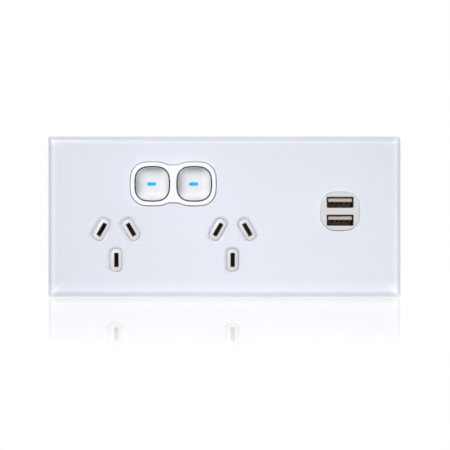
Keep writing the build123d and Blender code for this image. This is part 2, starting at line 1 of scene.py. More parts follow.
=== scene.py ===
import bmesh
import bpy
import math
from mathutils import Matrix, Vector


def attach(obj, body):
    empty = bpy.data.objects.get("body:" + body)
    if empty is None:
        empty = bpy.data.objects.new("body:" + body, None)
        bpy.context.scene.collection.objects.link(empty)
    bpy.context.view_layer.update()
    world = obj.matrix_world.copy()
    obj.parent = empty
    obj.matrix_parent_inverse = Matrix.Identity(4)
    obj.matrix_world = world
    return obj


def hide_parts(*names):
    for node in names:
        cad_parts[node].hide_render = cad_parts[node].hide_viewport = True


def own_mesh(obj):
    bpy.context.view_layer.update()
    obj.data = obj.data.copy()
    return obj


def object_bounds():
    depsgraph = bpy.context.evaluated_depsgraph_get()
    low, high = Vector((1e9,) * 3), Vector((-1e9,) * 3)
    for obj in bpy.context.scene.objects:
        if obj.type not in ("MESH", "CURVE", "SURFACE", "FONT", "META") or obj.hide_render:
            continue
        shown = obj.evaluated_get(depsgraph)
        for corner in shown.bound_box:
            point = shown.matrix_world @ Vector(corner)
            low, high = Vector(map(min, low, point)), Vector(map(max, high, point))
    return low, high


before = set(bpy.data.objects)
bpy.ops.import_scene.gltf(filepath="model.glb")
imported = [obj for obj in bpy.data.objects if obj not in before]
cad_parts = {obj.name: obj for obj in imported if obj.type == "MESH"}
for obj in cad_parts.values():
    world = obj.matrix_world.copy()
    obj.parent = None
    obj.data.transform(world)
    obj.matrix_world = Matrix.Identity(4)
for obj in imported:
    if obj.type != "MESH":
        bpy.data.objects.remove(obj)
cad_low, cad_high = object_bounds()


# Mounting frame: the white moulding that is screwed to the wall, with the socket bosses on its
# front. It is injection moulded polycarbonate, and its skin carries the fine grain of a
# spark-eroded mould. Sizes are in millimetres.
MM = 0.001
# the frame colour is a little greyer than the white of the moulding, partly painted shade for the bosses
# that lie deep in the openings of the glass; the slot colour beside it is painted shade
FRAME_WHITE, SLOT_SHADE = (218, 217, 218), (150, 128, 115)
SOCKET_APART, SOCKET_UP = 27.25, -10.1
PIN_OUT, PIN_TILT, EARTH_DOWN = 7.92, 30, 10.31
PIN_ASIDE = PIN_OUT * math.cos(math.radians(PIN_TILT))
PIN_ABOVE = PIN_OUT * math.sin(math.radians(PIN_TILT))
SLOT_HALF_W, SLOT_HALF_L = 1.06, 3.36
BOSS_HALF_W, BOSS_HALF_L, BOSS_CROWN = 2.6, 5.2, 0.4
WALL_FACING, FRONT_FACING = 0.3, 0.85
FLOW_SCALE, WIPE_SCALE, GLOSS_SWING, GRAIN_RELIEF = 55.0, 380.0, 0.14, 0.35
MIX_FIRST, MIX_SECOND, MIX_RESULT = 6, 7, 2


def paint(rgb):
    """A colour given as it is seen on a screen, in the units that shaders take."""
    linear = [c / 255 / 12.92 if c <= 10 else ((c / 255 + 0.055) / 1.055) ** 2.4 for c in rgb]
    return (*linear, 1.0)


def settle(node, values):
    """Sets plain values on a node's own sockets."""
    for label, value in values.items():
        node.inputs[label].default_value = value


def feed(tree, value, socket):
    """Gives a socket a number, or the output of another node."""
    if isinstance(value, (int, float)):
        socket.default_value = value
    else:
        tree.links.new(value, socket)


def math_node(tree, operation, first, second=0.0):
    """One sum of two sockets or numbers."""
    node = tree.nodes.new("ShaderNodeMath")
    node.operation = operation
    feed(tree, first, node.inputs[0])
    feed(tree, second, node.inputs[1])
    return node.outputs[0]


def noise_node(tree, where, scale, detail):
    """Smooth noise over the piece, with scale in lumps a metre."""
    node = tree.nodes.new("ShaderNodeTexNoise")
    tree.links.new(where, node.inputs["Vector"])
    feed(tree, scale, node.inputs["Scale"])
    feed(tree, detail, node.inputs["Detail"])
    return node.outputs["Fac"]


def ramp_node(tree, value, stops):
    """A smooth run of grey levels over a value."""
    node = tree.nodes.new("ShaderNodeValToRGB")
    node.color_ramp.interpolation = "EASE"
    while len(node.color_ramp.elements) < len(stops):
        node.color_ramp.elements.new(0.5)
    for mark, (place, level) in zip(node.color_ramp.elements, stops):
        mark.position = place
        mark.color = (level, level, level, 1)
    tree.links.new(value, node.inputs[0])
    return node.outputs[0]


def parts_of(tree, kind):
    """The X, Y and Z of a point on the piece, or of the way that its surface faces."""
    split = tree.nodes.new("ShaderNodeSeparateXYZ")
    tree.links.new(tree.nodes.new("ShaderNodeTexCoord").outputs[kind], split.inputs[0])
    return split.outputs


def swing(tree, noise, amount, level):
    """Noise as a swing of some amount about a level."""
    about = math_node(tree, "MULTIPLY", math_node(tree, "SUBTRACT", noise, 0.5), amount)
    return math_node(tree, "ADD", about, level)


def off_middle(tree, value, middle):
    """How far a value lies to either side of a middle."""
    return math_node(tree, "ABSOLUTE", math_node(tree, "SUBTRACT", value, middle))


def toned(tree, colour, level):
    """A colour made lighter or darker by a level, which is 1 where it stays as it is."""
    node = tree.nodes.new("ShaderNodeHueSaturation")
    tree.links.new(colour, node.inputs["Color"])
    tree.links.new(level, node.inputs["Value"])
    return node.outputs["Color"]


def new_skin(name, levels):
    """An empty node group: a colour and some named levels go in, and a skin comes out."""
    tree = bpy.data.node_groups.new(name, "ShaderNodeTree")
    grey = tree.interface.new_socket("Colour", in_out="INPUT", socket_type="NodeSocketColor")
    grey.default_value = (0.8, 0.8, 0.8, 1)
    for label, level in levels.items():
        socket = tree.interface.new_socket(label, in_out="INPUT", socket_type="NodeSocketFloat")
        socket.default_value = level
    tree.interface.new_socket("Colour", in_out="OUTPUT", socket_type="NodeSocketColor")
    for label in ("Roughness", "Height"):
        tree.interface.new_socket(label, in_out="OUTPUT", socket_type="NodeSocketFloat")
    given, put = tree.nodes.new("NodeGroupInput"), tree.nodes.new("NodeGroupOutput")
    return tree, given.outputs, put.inputs


def moulded_skin_group():
    """Moulded plastic: soft flow marks in the colour, uneven gloss and a fine eroded grain."""
    levels = {"Mottle": 0.03, "Gloss Level": 0.4, "Grain Scale": 6000.0}
    tree, given, put = new_skin("moulded_skin", levels)
    where = tree.nodes.new("ShaderNodeTexCoord").outputs["Object"]
    flow = noise_node(tree, where, FLOW_SCALE, detail=3.0)
    wipe = noise_node(tree, where, WIPE_SCALE, detail=4.0)
    grain = noise_node(tree, where, given["Grain Scale"], detail=2.0)
    tone = toned(tree, given["Colour"], swing(tree, flow, given["Mottle"], 1.0))
    tree.links.new(tone, put["Colour"])
    tree.links.new(swing(tree, wipe, GLOSS_SWING, given["Gloss Level"]), put["Roughness"])
    tree.links.new(grain, put["Height"])
    return tree


MOULDED_SKIN = moulded_skin_group()


def skinned(name, skin_group, levels, relief, depth):
    """A material that takes its colour, gloss and fine relief from a skin."""
    mat = bpy.data.materials.new(name)
    mat.use_nodes = True
    tree = mat.node_tree
    shader = tree.nodes["Principled BSDF"]
    group = tree.nodes.new("ShaderNodeGroup")
    group.node_tree = skin_group
    settle(group, levels)
    bump = tree.nodes.new("ShaderNodeBump")
    settle(bump, {"Strength": relief, "Distance": depth * MM})
    tree.links.new(group.outputs["Colour"], shader.inputs["Base Color"])
    tree.links.new(group.outputs["Roughness"], shader.inputs["Roughness"])
    tree.links.new(group.outputs["Height"], bump.inputs["Height"])
    tree.links.new(bump.outputs["Normal"], shader.inputs["Normal"])
    return mat


def moulding(name, rgb, gloss, mottle=0.03, grain=6000.0, depth=0.006):
    """A moulded plastic finish of one colour."""
    levels = {"Colour": paint(rgb), "Mottle": mottle, "Gloss Level": gloss, "Grain Scale": grain}
    return skinned(name, MOULDED_SKIN, levels, GRAIN_RELIEF, depth)


def dress(mat, *nodes):
    """Puts a finish on pieces of the frame."""
    for name in nodes:
        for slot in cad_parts[name].material_slots:
            slot.material = mat


def with_painted_wall_shade(mat, shade, mask=None):
    """Puts painted shade, a darker colour, on the walls of a piece that stand square to the plate."""
    tree = mat.node_tree
    shader = tree.nodes["Principled BSDF"]
    base = shader.inputs["Base Color"].links[0].from_socket
    facing = math_node(tree, "ABSOLUTE", parts_of(tree, "Normal")["Y"])
    wall = ramp_node(tree, facing, [(0.0, 1.0), (WALL_FACING, 1.0), (FRONT_FACING, 0.0), (1.0, 0.0)])
    if mask:
        wall = math_node(tree, "MULTIPLY", wall, mask(tree))
    blend = tree.nodes.new("ShaderNodeMix")
    blend.data_type = "RGBA"
    tree.links.new(wall, blend.inputs["Factor"])
    tree.links.new(base, blend.inputs[MIX_FIRST])
    blend.inputs[MIX_SECOND].default_value = paint(shade)
    tree.links.new(blend.outputs[MIX_RESULT], shader.inputs["Base Color"])
    return mat


def shaped_by(mat, height):
    """Shades a finish as if its surface rose by a height in metres."""
    tree = mat.node_tree
    shader = tree.nodes["Principled BSDF"]
    bump = tree.nodes.new("ShaderNodeBump")
    settle(bump, {"Strength": 1.0, "Distance": 1.0})
    tree.links.new(shader.inputs["Normal"].links[0].from_socket, bump.inputs["Normal"])
    tree.links.new(height(tree), bump.inputs["Height"])
    tree.links.new(bump.outputs["Normal"], shader.inputs["Normal"])
    return mat


def from_each_pin(tree):
    """Offsets across and along a slanted slot and an earth slot, on to which all six are folded."""
    at = parts_of(tree, "Object")
    across = off_middle(tree, math_node(tree, "ABSOLUTE", at["X"]), SOCKET_APART * MM)
    up = math_node(tree, "SUBTRACT", at["Z"], SOCKET_UP * MM)
    offsets = []
    for x, z, tilt in ((PIN_ASIDE, PIN_ABOVE, PIN_TILT), (0.0, -EARTH_DOWN, 0)):
        c, n = math.cos(math.radians(tilt)), math.sin(math.radians(tilt))
        a, b = math_node(tree, "SUBTRACT", across, x * MM), math_node(tree, "SUBTRACT", up, z * MM)
        a_flat, a_lean = math_node(tree, "MULTIPLY", a, c), math_node(tree, "MULTIPLY", a, n)
        b_flat, b_lean = math_node(tree, "MULTIPLY", b, c), math_node(tree, "MULTIPLY", b, n)
        wide, along = math_node(tree, "ADD", a_flat, b_lean), math_node(tree, "SUBTRACT", b_flat, a_lean)
        offsets.append((wide, along))
    return offsets


def in_a_slot(tree):
    """One on the walls of the six pin slots, nothing elsewhere."""
    hits = []
    for wide, along in from_each_pin(tree):
        beside = math_node(tree, "LESS_THAN", math_node(tree, "ABSOLUTE", wide), SLOT_HALF_W * MM)
        between = math_node(tree, "LESS_THAN", math_node(tree, "ABSOLUTE", along), SLOT_HALF_L * MM)
        hits.append(math_node(tree, "MULTIPLY", beside, between))
    return math_node(tree, "MAXIMUM", *hits)


def boss_crown(tree):
    """Height of the slightly domed bosses, highest over their slots and level beyond them."""
    domes = []
    for wide, along in from_each_pin(tree):
        dome = 0.0
        for offset, half in ((wide, BOSS_HALF_W), (along, BOSS_HALF_L)):
            share = math_node(tree, "DIVIDE", offset, half * MM)
            square = math_node(tree, "MULTIPLY", share, share)
            drop = math_node(tree, "MULTIPLY", square, BOSS_CROWN * MM)
            dome = math_node(tree, "SUBTRACT", dome, drop)
        domes.append(dome)
    return math_node(tree, "MAXIMUM", math_node(tree, "MAXIMUM", *domes), -2 * BOSS_CROWN * MM)


frame_white = shaped_by(moulding("frame_white", FRAME_WHITE, gloss=0.42), boss_crown)
# painted shade: the walls of the pin slots are coloured dark brown
dress(with_painted_wall_shade(frame_white, SLOT_SHADE, in_a_slot), "mounting_frame")


# Rear housings: the block behind the sockets and the box of the USB supply. Both are moulded in
# an off-white heat-proof plastic with a duller skin, and screwed to the frame from the rear.
REAR_WHITE = (228, 228, 225)

rear_white = moulding("rear_white", REAR_WHITE, gloss=0.55, mottle=0.05, grain=3500.0, depth=0.01)
dress(rear_white, "mechanism_housing", "usb_housing")


# Brass strips, pin clips and terminal blocks: stamped from sheet or cut from bar, and laid in the
# pockets of the rear housing. The sheet keeps the faint lines of rolling and a little tarnish.
STRIP_BRASS, BLOCK_BRASS = (236, 196, 164), (206, 172, 100)
LINE_STRETCH, PATCH_SCALE, POLISH_SWING = (0.06, 1.0, 1.0), 240.0, 0.3
LINE_RELIEF, LINE_DEPTH = 0.2, 0.005


def worked_metal_group():
    """Bare metal: fine drawn lines, patches of tarnish and uneven polish."""
    levels = {"Tarnish": 0.2, "Gloss Level": 0.3, "Line Scale": 2500.0}
    tree, given, put = new_skin("worked_metal", levels)
    where = tree.nodes.new("ShaderNodeTexCoord").outputs["Object"]
    stretch = tree.nodes.new("ShaderNodeMapping")
    settle(stretch, {"Scale": LINE_STRETCH})
    tree.links.new(where, stretch.inputs["Vector"])
    lines = noise_node(tree, stretch.outputs["Vector"], given["Line Scale"], detail=3.0)
    patches = noise_node(tree, where, PATCH_SCALE, detail=4.0)
    dull = math_node(tree, "MULTIPLY", patches, given["Tarnish"])
    tone = toned(tree, given["Colour"], math_node(tree, "SUBTRACT", 1.0, dull))
    tree.links.new(tone, put["Colour"])
    tree.links.new(swing(tree, lines, POLISH_SWING, given["Gloss Level"]), put["Roughness"])
    tree.links.new(lines, put["Height"])
    return tree


WORKED_METAL = worked_metal_group()


def bare_metal(name, rgb, gloss, tarnish=0.2, lines=2500.0, bright=1.0):
    """A bare or plated metal finish, less bright where it is oxidised."""
    levels = {"Colour": paint(rgb), "Tarnish": tarnish, "Gloss Level": gloss, "Line Scale": lines}
    mat = skinned(name, WORKED_METAL, levels, LINE_RELIEF, LINE_DEPTH)
    settle(mat.node_tree.nodes["Principled BSDF"], {"Metallic": bright})
    return mat


dress(
    bare_metal("brass_strip", STRIP_BRASS, gloss=0.6, tarnish=0.35, bright=0.5),
    "active_busbar", "neutral_busbar", "earth_busbar",
    "active_contact_left", "active_contact_right",
    "contact_bridge_left", "contact_bridge_right",
)
dress(
    bare_metal("brass_block", BLOCK_BRASS, gloss=0.38, tarnish=0.25, lines=1200.0),
    "active_terminal", "earth_terminal", "neutral_terminal",
)


# Screws: three slotted ones clamp the cable cores in the terminal blocks, and six that are turned
# in from the rear hold the housings on the frame. They are steel with a bright zinc plating.
SCREW_ZINC = (196, 197, 200)

screw_steel = bare_metal("screw_steel", SCREW_ZINC, gloss=0.34, tarnish=0.15)
dress(screw_steel, "terminal_screws", "housing_screws")


# Switch works: a dark nylon plunger under each button carries a bridge on to the fixed contacts.
# A spring wound of steel wire with closed ends pushes it out again, and a bent wire latches it.
NYLON_GREY, SPRING_GREY = (62, 62, 66), (176, 178, 182)
SWITCH_MIDDLE, BUTTON_APART, BUTTON_UP = -0.5, 9.8, 15.2
SPRING_FLOOR, SPRING_TOP, PRESSED_SHARE = -16.0, -7.02, 0.715
SPRING_R, WIRE_R, SPRING_TURNS, CLOSED_TURNS = 2.55, 0.3, 5.0, 0.8
CLOSED_PITCH = 2.1 * WIRE_R
STEPS_A_TURN, WIRE_SIDES, NUDGE = 28, 10, 0.01
CREASE = 38


def skin(mesh, rings, finish):
    """Faces between loops that follow each other."""
    for first, second in zip(rings, rings[1:]):
        for i in range(len(first)):
            j = (i + 1) % len(first)
            mesh.faces.new((first[i], first[j], second[j], second[i])).material_index = finish


def piece(name, mesh, finishes, body):
    """A finished piece from its mesh, riding on its body."""
    bmesh.ops.recalc_face_normals(mesh, faces=mesh.faces)
    data = bpy.data.meshes.new(name)
    mesh.to_mesh(data)
    mesh.free()
    data.shade_smooth()
    data.set_sharp_from_angle(angle=math.radians(CREASE))
    for finish in finishes:
        data.materials.append(finish)
    made = bpy.data.objects.new(name, data)
    bpy.context.collection.objects.link(made)
    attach(made, body)
    return made


def coil_height(turn):
    """Height of the wire's middle after so many turns: tight at both ends, open between them."""
    low, high = SPRING_FLOOR + WIRE_R, SPRING_TOP - WIRE_R
    left = SPRING_TURNS - turn
    if turn < CLOSED_TURNS:
        return low + turn * CLOSED_PITCH
    if left < CLOSED_TURNS:
        return high - left * CLOSED_PITCH
    share = (turn - CLOSED_TURNS) / (SPRING_TURNS - 2 * CLOSED_TURNS)
    return low + CLOSED_TURNS * CLOSED_PITCH + share * (high - low - 2 * CLOSED_TURNS * CLOSED_PITCH)


def wound_spring(name, middle, finish):
    """A coil of round wire on the axis of its button."""
    mesh = bmesh.new()
    rings = []
    for step in range(round(SPRING_TURNS * STEPS_A_TURN) + 1):
        turn = step / STEPS_A_TURN
        a = 2 * math.pi * turn
        outward = Vector((math.cos(a), math.sin(a), 0))
        rise = (coil_height(turn + NUDGE) - coil_height(turn - NUDGE)) / (2 * NUDGE)
        along = Vector((-math.sin(a), math.cos(a), rise / (2 * math.pi * SPRING_R))).normalized()
        upward = outward.cross(along)
        centre = Vector((middle, BUTTON_UP, coil_height(turn))) + SPRING_R * outward
        loop = []
        for i in range(WIRE_SIDES):
            b = 2 * math.pi * i / WIRE_SIDES
            p = centre + WIRE_R * (math.cos(b) * outward + math.sin(b) * upward)
            loop.append(mesh.verts.new((p.x * MM, -p.z * MM, p.y * MM)))
        rings.append(loop)
    skin(mesh, rings, 0)
    mesh.faces.new(rings[0])
    mesh.faces.new(rings[-1])
    return piece(name, mesh, [finish], "fitting")


dress(moulding("dark_nylon", NYLON_GREY, gloss=0.45), "switch_plunger_left", "switch_plunger_right")
spring_steel = bare_metal("spring_steel", SPRING_GREY, gloss=0.3)
dress(spring_steel, "latch_wire_left", "latch_wire_right")
for side, middle in (("left", SWITCH_MIDDLE - BUTTON_APART), ("right", SWITCH_MIDDLE + BUTTON_APART)):
    spring = wound_spring(f"coil_spring_{side}", middle, spring_steel)
    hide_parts(f"return_spring_{side}")
    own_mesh(spring)


# Boards: a narrow green glass-fibre board stands on pegs behind the buttons, with one small lamp
# and one resistor for each of them. The board of the USB supply lies on ledges in its box, and its
# transformer, capacitors and chip are soldered to its rear.
BOARD_GREEN, LENS_BLUE, PART_BLACK = (38, 104, 62), (205, 232, 240), (44, 44, 47)

board_green = moulding("board_green", BOARD_GREEN, gloss=0.3, mottle=0.25, grain=1500.0)
dress(board_green, "light_board", "usb_board")
dress(moulding("light_lens", LENS_BLUE, gloss=0.15), "indicator_lights")
dress(
    moulding("component_black", PART_BLACK, gloss=0.42),
    "light_resistors", "supply_transformer", "supply_capacitor", "output_capacitors", "supply_chip",
)


# USB ports: a folded plated-steel shell, a pale tongue and four bronze contacts make each port,
# and a light grey moulded insert frames both of them.
SHELL_BROWN, TONGUE_CREAM = (132, 100, 79), (190, 177, 165)
# the contact colour is painted shade
CONTACT_SHADE, INSERT_GREY = (16, 11, 8), (211, 211, 210)

plated_steel = bare_metal("plated_steel", SHELL_BROWN, gloss=0.5, tarnish=0.25)
dress(plated_steel, "usb_shell_lower", "usb_shell_upper")
dress(moulding("tongue_cream", TONGUE_CREAM, gloss=0.45), "usb_tongue_lower", "usb_tongue_upper")
# the contacts are coloured near black as painted shade, for the dark under the tongues
contact_bronze = bare_metal("contact_bronze", CONTACT_SHADE, gloss=0.6, tarnish=0.3, bright=0.4)
dress(contact_bronze, "usb_contacts_lower", "usb_contacts_upper")
dress(moulding("insert_grey", INSERT_GREY, gloss=0.4), "usb_insert")


# Fascia carrier: the pale moulded plate behind the glass, with snap hooks that clip on the frame.
# Its colour carries painted light: a painted highlight just inside the border, where light entering
# through the bevel of the glass would land, and painted shade right under the bevel.
PALE_BACKING = (226, 229, 238)
PLATE_MIDDLE, PLATE_W, PLATE_H = 23.4, 165.0, 75.0
# levels round the border are halved, so that a ramp can hold those over one
BORDER, UNDER_BEVEL, PLAIN, BRIGHTENS = 8.0, 0.49, 0.5, 0.03
# width, start, reach and strength of the painted highlight streaks on the corners
STREAK_HALF, STREAK_START = 1.3, 2.3
LOW_STREAK, HIGH_STREAK = (2.7, 0.25), (1.2, 0.13)


def painted_corner_streak(tree, across, up, reach, peak):
    """Painted highlight where the light of two edges meets, on the diagonal of a corner."""
    apart = math_node(tree, "DIVIDE", math_node(tree, "SUBTRACT", across, up), STREAK_HALF * MM)
    narrow = math_node(tree, "MULTIPLY", math_node(tree, "MULTIPLY", apart, apart), -1.0)
    narrow = math_node(tree, "EXPONENT", narrow)
    far = math_node(tree, "DIVIDE", math_node(tree, "SUBTRACT", STREAK_START * MM, up), reach * MM)
    far = math_node(tree, "MINIMUM", math_node(tree, "EXPONENT", far), 1.0)
    return math_node(tree, "MULTIPLY", narrow, math_node(tree, "MULTIPLY", far, peak))


def backing_with_painted_light():
    """Pale satin moulding with painted light round its border: a painted highlight inside the bevel and
    painted shade under it.
    """
    mat = moulding("pale_backing", PALE_BACKING, gloss=0.5, mottle=0.02)
    tree = mat.node_tree
    shader = tree.nodes["Principled BSDF"]
    base = shader.inputs["Base Color"].links[0].from_socket
    at = parts_of(tree, "Object")
    left = math_node(tree, "SUBTRACT", at["X"], (PLATE_MIDDLE - PLATE_W / 2) * MM)
    right = math_node(tree, "SUBTRACT", (PLATE_MIDDLE + PLATE_W / 2) * MM, at["X"])
    side = math_node(tree, "MINIMUM", left, right)
    low = math_node(tree, "ADD", at["Z"], PLATE_H / 2 * MM)
    high = math_node(tree, "SUBTRACT", PLATE_H / 2 * MM, at["Z"])
    tone = 1.0
    # painted shade under the bevel, then a painted highlight just inside it, on the sides, bottom and
    # top
    for edge, start, peak, half_way, tail in (
        (side, 0.21, 0.566, (0.42, 0.512), 0.62),
        (low, 0.27, 0.556, (0.62, 0.53), 0.95),
        (high, 0.265, 0.563, (0.42, 0.515), 0.6),
    ):
        dull = [(0.0, UNDER_BEVEL), (start, UNDER_BEVEL)]
        stops = dull + [(start + BRIGHTENS, peak), half_way, (tail, PLAIN)]
        level = ramp_node(tree, math_node(tree, "DIVIDE", edge, BORDER * MM), stops)
        tone = math_node(tree, "MULTIPLY", math_node(tree, "DIVIDE", level, PLAIN), tone)
    # painted highlight streaks on the diagonals of the lower and upper corners
    for edge, (reach, peak) in ((low, LOW_STREAK), (high, HIGH_STREAK)):
        tone = math_node(tree, "ADD", tone, painted_corner_streak(tree, side, edge, reach, peak))
    tree.links.new(toned(tree, base, tone), shader.inputs["Base Color"])
    return mat


dress(backing_with_painted_light(), "fascia_carrier")


# Front plate: clear glass 3 mm thick, bonded on the carrier. Its outer bevel is polished. Its rim
# and the walls of its openings are ground, so they show as fine lines round what stands in them.
# The grey of the ground walls round the bezel is partly painted shade, for the dark gap there.
FACE, PLATE_BACK = 10.0, 7.03
SIDE_BEVEL, PLATE_CORNER, CORNER_LOSS, LEAST_CORNER = 0.8, 0.8, 0.35, 0.2
BEZEL_W, BEZEL_WAIST, WAIST_R = 20.2, 17.3, 7.0
USB_MIDDLE, INSERT_W = (77.5, 2.4), 18.0
APERTURE, APERTURE_R = (5.6, 10.8), 2.3
SAME_POINT = 1e-6
# radii and offsets as shares of the width, and half the angle of a bowed side
BOW_R, BOW_BACK, ROUND_R, ROUND_OUT, BOW_ANGLE = 1.52, 1.02, 0.34, 0.15038, 7.3216
# profiles of the edges: how far in from the rim or out from an opening, and the height
OUTER_EDGE = [(0.15, PLATE_BACK), (0.0, 7.18), (0.0, 8.25), (0.05, 8.4), (0.16, 8.53),
              (1.8, 9.84), (1.95, 9.93), (2.15, 9.985), (2.4, FACE), (2.9, FACE)]
FITTED_EDGE = [(0.75, FACE), (0.5, FACE), (0.36, 9.97), (0.25, 9.88), (0.2, 9.74), (0.2, PLATE_BACK)]
FLARED_EDGE = [(1.75, FACE), (1.3, FACE), (1.16, 9.96), (1.04, 9.86), (0.12, 8.94), (0.03, 8.82),
               (0.0, 8.66), (0.0, PLATE_BACK)]
GLASS_TINT, SMEAR_SCALE, SMEAR_SWING, POLISH = (0.985, 0.992, 1.0), 90.0, 0.08, 0.05
# painted shade in the bevel's tint, by the way it faces: the sides, down and up
SIDE_SHADE, LOW_SHADE, HIGH_SHADE = 0.38, 0.25, 0.11
# the ground grey is partly painted shade, for the dark line of the narrow gap round the bezel
GROUND_GREY, FROSTED_WHITE = (150, 153, 160), (230, 233, 241)
# colour of the painted glow inside the edges of the glass, and the depth of reflections past which it
# shows
PAINTED_EDGE_GLOW, THROWN_BACK = (125, 128, 138), 1.5
CLEAR, BEVEL, GROUND, FROSTED = range(4)


def arc(centre, radius, start, stop, steps):
    """Points on an arc, angles in degrees, both ends included."""
    turn = [math.radians(start + (stop - start) * i / steps) for i in range(steps + 1)]
    return [(centre[0] + radius * math.cos(a), centre[1] + radius * math.sin(a)) for a in turn]


def joined(*runs):
    """One closed outline from runs whose ends meet."""
    points = []
    for point in [p for run in runs for p in run]:
        if not points or math.dist(point, points[-1]) > SAME_POINT:
            points.append(point)
    return points[:-1] if math.dist(points[0], points[-1]) < SAME_POINT else points


def round_box(width, height, radius, steps=8):
    """A rectangle with round corners, around its own middle."""
    a, b = width / 2 - radius, height / 2 - radius
    quarters = ((a, b, 0), (-a, b, 90), (-a, -b, 180), (a, -b, 270))
    return joined(*[arc((x, y), radius, t, t + 90, steps) for x, y, t in quarters])


def bowed_square(width, grow):
    """Radii and offsets of a square with bowed sides and round corners, grown by a margin."""
    return BOW_R * width + grow, ROUND_R * width + grow, BOW_BACK * width, ROUND_OUT * width


def insert_outline(grow):
    """The USB insert: bowed sides and large round corners, grown by an even margin."""
    bow, corner, back, out = bowed_square(INSERT_W, grow)
    runs = []
    for start in (0, 90, 180, 270):
        c, n = round(math.cos(math.radians(start))), round(math.sin(math.radians(start)))
        bow_middle, round_middle = (-back * c, -back * n), (out * (c - n), out * (c + n))
        runs.append(arc(bow_middle, bow, start - BOW_ANGLE, start + BOW_ANGLE, steps=8))
        runs.append(arc(round_middle, corner, start + BOW_ANGLE, start + 90 - BOW_ANGLE, steps=14))
    return joined(*runs)


def bezel_outline(grow):
    """The switch bezel: two lobes with a narrower waist between them, grown by an even margin."""
    bow, corner, back, out = bowed_square(BEZEL_W, grow)
    near, far = BUTTON_APART - out, BUTTON_APART + out
    neck = BEZEL_WAIST / 2 + WAIST_R
    reach = corner + WAIST_R - grow
    lean = math.degrees(math.asin((neck - out) / reach))
    hollow = near - reach * math.cos(math.radians(lean))
    upper = [
        arc((BUTTON_APART - back, 0), bow, 0, BOW_ANGLE, steps=4),
        arc((far, out), corner, BOW_ANGLE, 90 - BOW_ANGLE, steps=14),
        arc((BUTTON_APART, -back), bow, 90 - BOW_ANGLE, 90 + BOW_ANGLE, steps=8),
        arc((near, out), corner, 90 + BOW_ANGLE, 180 - lean, steps=5),
        arc((hollow, neck), WAIST_R - grow, -lean, -90, steps=8),
    ]
    quarter = [p for run in upper for p in run]
    half = quarter + [(-x, y) for x, y in reversed(quarter)]
    whole = half + [(x, -y) for x, y in reversed(half)]
    return joined(whole)


def placed(points, middle, tilt=0.0):
    """An outline moved to its place on the plate."""
    c, n = math.cos(math.radians(tilt)), math.sin(math.radians(tilt))
    return [(middle[0] + x * c - y * n, middle[1] + x * n + y * c) for x, y in points]


def pin_places():
    """Middle and tilt of the six pin apertures."""
    places = []
    for socket in (-SOCKET_APART, SOCKET_APART):
        for side in (-1, 1):
            places.append(((socket + side * PIN_ASIDE, SOCKET_UP + PIN_ABOVE), side * PIN_TILT))
        places.append(((socket, SOCKET_UP - EARTH_DOWN), 0))
    return places


def ring(mesh, points, height):
    """A closed loop of vertices at one height above the wall."""
    return [mesh.verts.new((x * MM, -height * MM, y * MM)) for x, y in points]


def cap_off(mesh, loops, finish):
    """A flat face between an outer loop and the loops of its holes."""
    edges = []
    for loop in loops:
        for i in range(len(loop)):
            pair = (loop[i], loop[(i + 1) % len(loop)])
            edges.append(mesh.edges.get(pair) or mesh.edges.new(pair))
    made = bmesh.ops.triangle_fill(mesh, edges=edges, use_beauty=True, normal=(0, -1, 0))
    for face in made["geom"]:
        if isinstance(face, bmesh.types.BMFace):
            face.material_index = finish


def mixed(tree, share, first, second):
    """Two shaders in one, the second by its share."""
    node = tree.nodes.new("ShaderNodeMixShader")
    for place, socket in enumerate((share, first, second)):
        tree.links.new(socket, node.inputs[place])
    return node.outputs[0]


def pass_lamps(mat):
    """Lets the light of the lamps through glass, and gives the inside of its edges a painted glow, which
    keeps them pale.
    """
    tree = mat.node_tree
    shader = tree.nodes["Principled BSDF"]
    path = tree.nodes.new("ShaderNodeLightPath").outputs
    inside = tree.nodes.new("ShaderNodeNewGeometry").outputs["Backfacing"]
    deep = math_node(tree, "GREATER_THAN", path["Glossy Depth"], THROWN_BACK)
    # painted glow: once a ray has been thrown back twice or more inside the glass, the inside of its
    # surface gives off light
    settle(shader, {"Emission Color": paint(PAINTED_EDGE_GLOW)})
    tree.links.new(math_node(tree, "MULTIPLY", inside, deep), shader.inputs["Emission Strength"])
    through = tree.nodes.new("ShaderNodeBsdfTransparent").outputs[0]
    lamp = math_node(tree, "MAXIMUM", path["Is Shadow Ray"], path["Is Diffuse Ray"])
    picked = mixed(tree, lamp, shader.outputs[0], through)
    tree.links.new(picked, tree.nodes["Material Output"].inputs["Surface"])


def clear_glass(name):
    """Polished glass with the faint smears of a wipe."""
    mat = bpy.data.materials.new(name)
    mat.use_nodes = True
    tree = mat.node_tree
    shader = tree.nodes["Principled BSDF"]
    settle(shader, {"Base Color": (*GLASS_TINT, 1.0), "Transmission Weight": 1.0, "IOR": 1.06})
    settle(shader, {"Coat Weight": 0.8, "Coat Roughness": 0.02})
    where = tree.nodes.new("ShaderNodeTexCoord").outputs["Object"]
    wipe = noise_node(tree, where, SMEAR_SCALE, detail=4.0)
    tree.links.new(swing(tree, wipe, SMEAR_SWING, POLISH), shader.inputs["Roughness"])
    pass_lamps(mat)
    return mat


